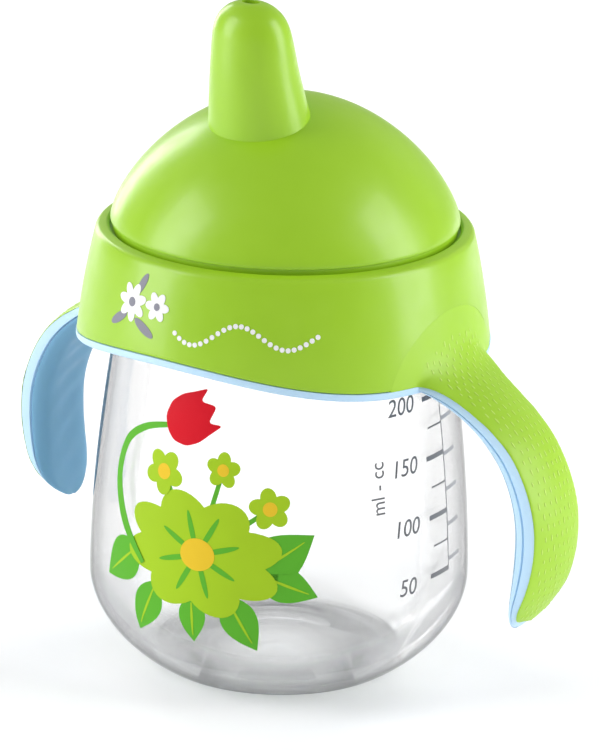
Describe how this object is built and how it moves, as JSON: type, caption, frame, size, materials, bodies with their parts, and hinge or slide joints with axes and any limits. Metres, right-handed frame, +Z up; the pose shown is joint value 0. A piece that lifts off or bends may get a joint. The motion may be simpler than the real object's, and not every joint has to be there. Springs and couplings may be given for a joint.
{
  "type": "sippy cup",
  "caption": "Clear training cup with a domed spout lid, a pull-out valve and a screw collar that carries two wing handles.",
  "frame": {"origin": "centre of the cup's flat base, on the surface it stands on", "axes": "+Z up along the cup's axis, the two handles along X, the drinking side of the spout faces -Y"},
  "size_m": [0.1304, 0.08, 0.1348],
  "materials": {
    "clear_plastic": "clear, glossy",
    "green_plastic": "satin",
    "grip_green": "soft, fine dashes",
    "blue_plastic": "satin",
    "seal_silicone": "translucent silicone",
    "valve_plastic": "satin",
    "valve_silicone": "translucent silicone"
  },
  "bodies": {
    "cup": {"cup_body": "clear_plastic"},
    "lid": {"lid_dome": "green_plastic", "lid_seal_ring": "seal_silicone"},
    "collar": {"collar_shell": "green_plastic", "collar_liner": "blue_plastic", "left_grip": "grip_green", "right_grip": "grip_green"},
    "valve": {"valve_base": "valve_plastic", "valve_membrane": "valve_silicone"}
  },
  "joints": [
    {"name": "lid_lift", "type": "slide", "parent": "cup", "child": "lid", "axis": [0, 0, 1], "range_m": [0, 0.008]},
    {"name": "collar_turn", "type": "hinge", "parent": "lid", "child": "collar", "pos_m": [0, 0, 0.078], "axis": [0, 0, 1], "range_deg": [0, 240]},
    {"name": "valve_pull", "type": "slide", "parent": "lid", "child": "valve", "axis": [0, 0, -1], "range_m": [0, 0.012]}
  ],
  "couplings": [
    {"joint": "lid_lift", "follows": "collar_turn", "m_per_rad": 0.0019099}
  ]
}
